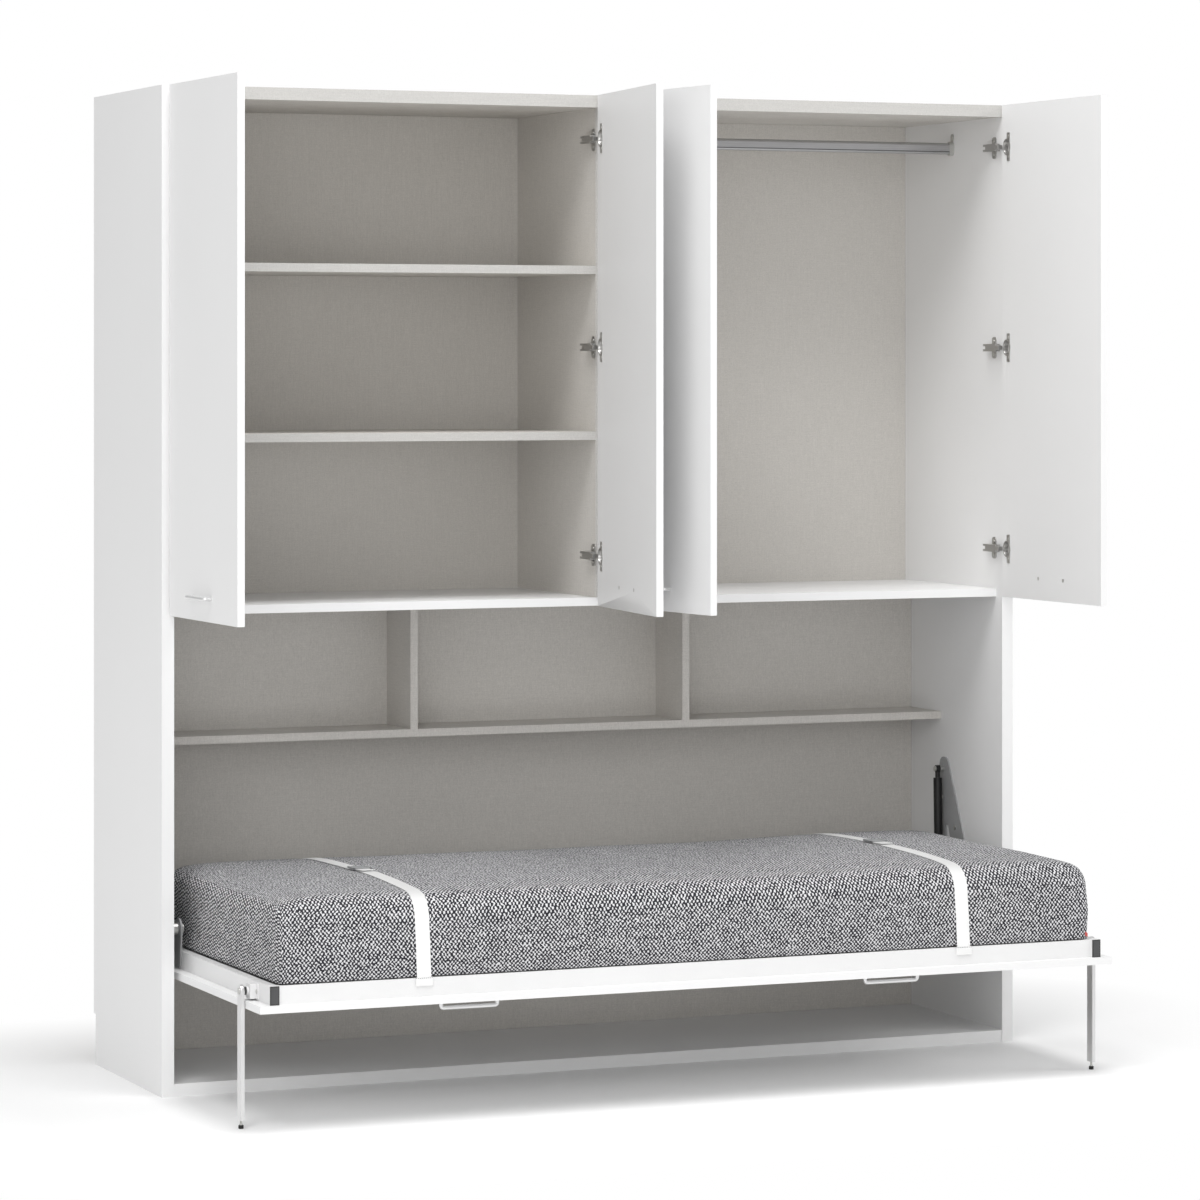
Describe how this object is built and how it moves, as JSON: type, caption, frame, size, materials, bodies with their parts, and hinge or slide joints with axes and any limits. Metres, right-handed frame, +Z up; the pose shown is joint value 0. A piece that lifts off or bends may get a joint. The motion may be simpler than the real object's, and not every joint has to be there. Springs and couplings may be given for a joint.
{
  "type": "cabinet bed",
  "caption": "Wall cabinet with hinged wardrobe doors above and a single bed that folds down sideways on side pivots with gas struts and swing legs; shelves, niche and hanging rail inside",
  "frame": {"origin": "centre of the cabinet carcass's footprint, on the floor", "axes": "+X to the right as seen from the room, +Y from the room into the cabinet, towards the wall, +Z up"},
  "size_m": [2.1007, 1.1925, 2.24],
  "materials": {
    "white_board": "matt white melamine on chipboard",
    "linen_board": "beige-grey linen-look laminate on chipboard",
    "dowel_wood": "plain beech dowel",
    "slat_wood": "clear-lacquered bent birch",
    "white_steel": "semi-matt white powder coat",
    "grey_steel": "matt grey powder coat",
    "leg_steel": "pale grey powder coat",
    "zinc_steel": "bright zinc plate",
    "nickel": "satin nickel plate",
    "satin_metal": "satin pale grey anodised",
    "rail_metal": "satin anodised",
    "strut_black": "black enamel",
    "rod_chrome": "polished hard chrome",
    "black_plastic": "moulded black plastic",
    "foot_rubber": "black rubber pad on a steel stem",
    "bush_plastic": "natural acetal",
    "weave_cloth": "black and white basket weave that reads mid grey",
    "webbing": "white woven webbing",
    "buckle_plastic": "white moulded plastic"
  },
  "bodies": {
    "cabinet": {"left_side_panel": "white_board", "right_side_panel": "white_board", "top_panel": "linen_board", "base_panel": "white_board", "middle_shelf": "white_board", "centre_partition": "linen_board", "upper_back_panels": "linen_board", "lower_back_panel": "linen_board", "wardrobe_shelves": "linen_board", "niche_shelf": "linen_board", "niche_dividers": "linen_board", "hanging_rail": "rail_metal", "rail_brackets": "zinc_steel", "carcass_dowels": "dowel_wood", "cabinet_screws": "zinc_steel", "hinge_arms": "nickel", "wall_plates": "grey_steel", "wall_plate_pins": "zinc_steel"},
    "bed": {"bed_front_panel": "white_board", "frame_side_rails": "white_steel", "frame_long_rails": "white_steel", "frame_centre_bar": "white_steel", "frame_end_caps": "black_plastic", "slats": "slat_wood", "slat_holders": "black_plastic", "mattress": "weave_cloth", "straps": "webbing", "strap_buckles": "buckle_plastic", "bed_handles": "satin_metal", "bed_screws": "zinc_steel", "leg_brackets": "white_steel", "leg_pivot_bolts": "zinc_steel", "leg_springs": "strut_black", "pivot_arms": "white_steel", "pivot_bushes": "bush_plastic", "strut_bed_studs": "zinc_steel"},
    "left_leg": {"leg_left": "leg_steel"},
    "right_leg": {"leg_right": "leg_steel"},
    "left_foot": {"foot_left": "foot_rubber"},
    "right_foot": {"foot_right": "foot_rubber"},
    "left_strut_cylinder": {"strut_cylinder_left": "strut_black"},
    "right_strut_cylinder": {"strut_cylinder_right": "strut_black"},
    "left_strut_rod": {"strut_rod_left": "rod_chrome"},
    "right_strut_rod": {"strut_rod_right": "rod_chrome"},
    "door_1_leaf": {"door_1": "white_board", "door_1_handle": "satin_metal", "door_1_hinge_cups": "nickel", "door_1_screws": "zinc_steel"},
    "door_2_leaf": {"door_2": "white_board", "door_2_handle": "satin_metal", "door_2_hinge_cups": "nickel", "door_2_screws": "zinc_steel"},
    "door_3_leaf": {"door_3": "white_board", "door_3_handle": "satin_metal", "door_3_hinge_cups": "nickel", "door_3_screws": "zinc_steel"},
    "door_4_leaf": {"door_4": "white_board", "door_4_handle": "satin_metal", "door_4_hinge_cups": "nickel", "door_4_screws": "zinc_steel"}
  },
  "joints": [
    {"name": "bed_fold", "type": "hinge", "parent": "cabinet", "child": "bed", "pos_m": [0, -0.2015, 0.3615], "axis": [-1, 0, 0], "range_deg": [0, 90]},
    {"name": "door_1_hinge", "type": "hinge", "parent": "cabinet", "child": "door_1_leaf", "pos_m": [-1.0212, -0.3032, 1.65275], "axis": [0, 0, 1], "range_deg": [-15.5, 89.5]},
    {"name": "door_2_hinge", "type": "hinge", "parent": "cabinet", "child": "door_2_leaf", "pos_m": [-0.0083, -0.3032, 1.65275], "axis": [0, 0, -1], "range_deg": [0, 84]},
    {"name": "door_3_hinge", "type": "hinge", "parent": "cabinet", "child": "door_3_leaf", "pos_m": [0.0083, -0.3032, 1.65275], "axis": [0, 0, 1], "range_deg": [0, 84]},
    {"name": "door_4_hinge", "type": "hinge", "parent": "cabinet", "child": "door_4_leaf", "pos_m": [1.0212, -0.3032, 1.65275], "axis": [0, 0, -1], "range_deg": [-14, 91]},
    {"name": "left_leg_fold", "type": "hinge", "parent": "bed", "child": "left_leg", "pos_m": [-1.007, -0.783, 0.292], "axis": [1, 0, 0], "range_deg": [0, 90]},
    {"name": "left_foot_turn", "type": "hinge", "parent": "left_leg", "child": "left_foot", "pos_m": [-1.007, -0.783, 0.009], "axis": [0, 0, 1], "continuous": true},
    {"name": "right_leg_fold", "type": "hinge", "parent": "bed", "child": "right_leg", "pos_m": [1.007, -0.783, 0.292], "axis": [1, 0, 0], "range_deg": [0, 90]},
    {"name": "right_foot_turn", "type": "hinge", "parent": "right_leg", "child": "right_foot", "pos_m": [1.007, -0.783, 0.009], "axis": [0, 0, 1], "continuous": true},
    {"name": "left_strut_tilt", "type": "hinge", "parent": "cabinet", "child": "left_strut_cylinder", "pos_m": [-0.995, 0.04, 0.629], "axis": [-1, 0, 0], "range_deg": [0, 30.84]},
    {"name": "left_strut_slide", "type": "slide", "parent": "left_strut_cylinder", "child": "left_strut_rod", "axis": [0, -0.0291, -0.9996], "range_m": [0, 0.24758]},
    {"name": "right_strut_tilt", "type": "hinge", "parent": "cabinet", "child": "right_strut_cylinder", "pos_m": [0.995, 0.04, 0.629], "axis": [-1, 0, 0], "range_deg": [0, 30.84]},
    {"name": "right_strut_slide", "type": "slide", "parent": "right_strut_cylinder", "child": "right_strut_rod", "axis": [0, -0.0291, -0.9996], "range_m": [0, 0.24758]}
  ],
  "couplings": [
    {"joint": "left_leg_fold", "follows": "bed_fold", "ratio": 1},
    {"joint": "left_strut_tilt", "follows": "bed_fold", "ratio": 0.3427},
    {"joint": "left_strut_slide", "follows": "bed_fold", "m_per_rad": 0.15761},
    {"joint": "right_leg_fold", "follows": "bed_fold", "ratio": 1},
    {"joint": "right_strut_tilt", "follows": "bed_fold", "ratio": 0.3427},
    {"joint": "right_strut_slide", "follows": "bed_fold", "m_per_rad": 0.15761}
  ]
}
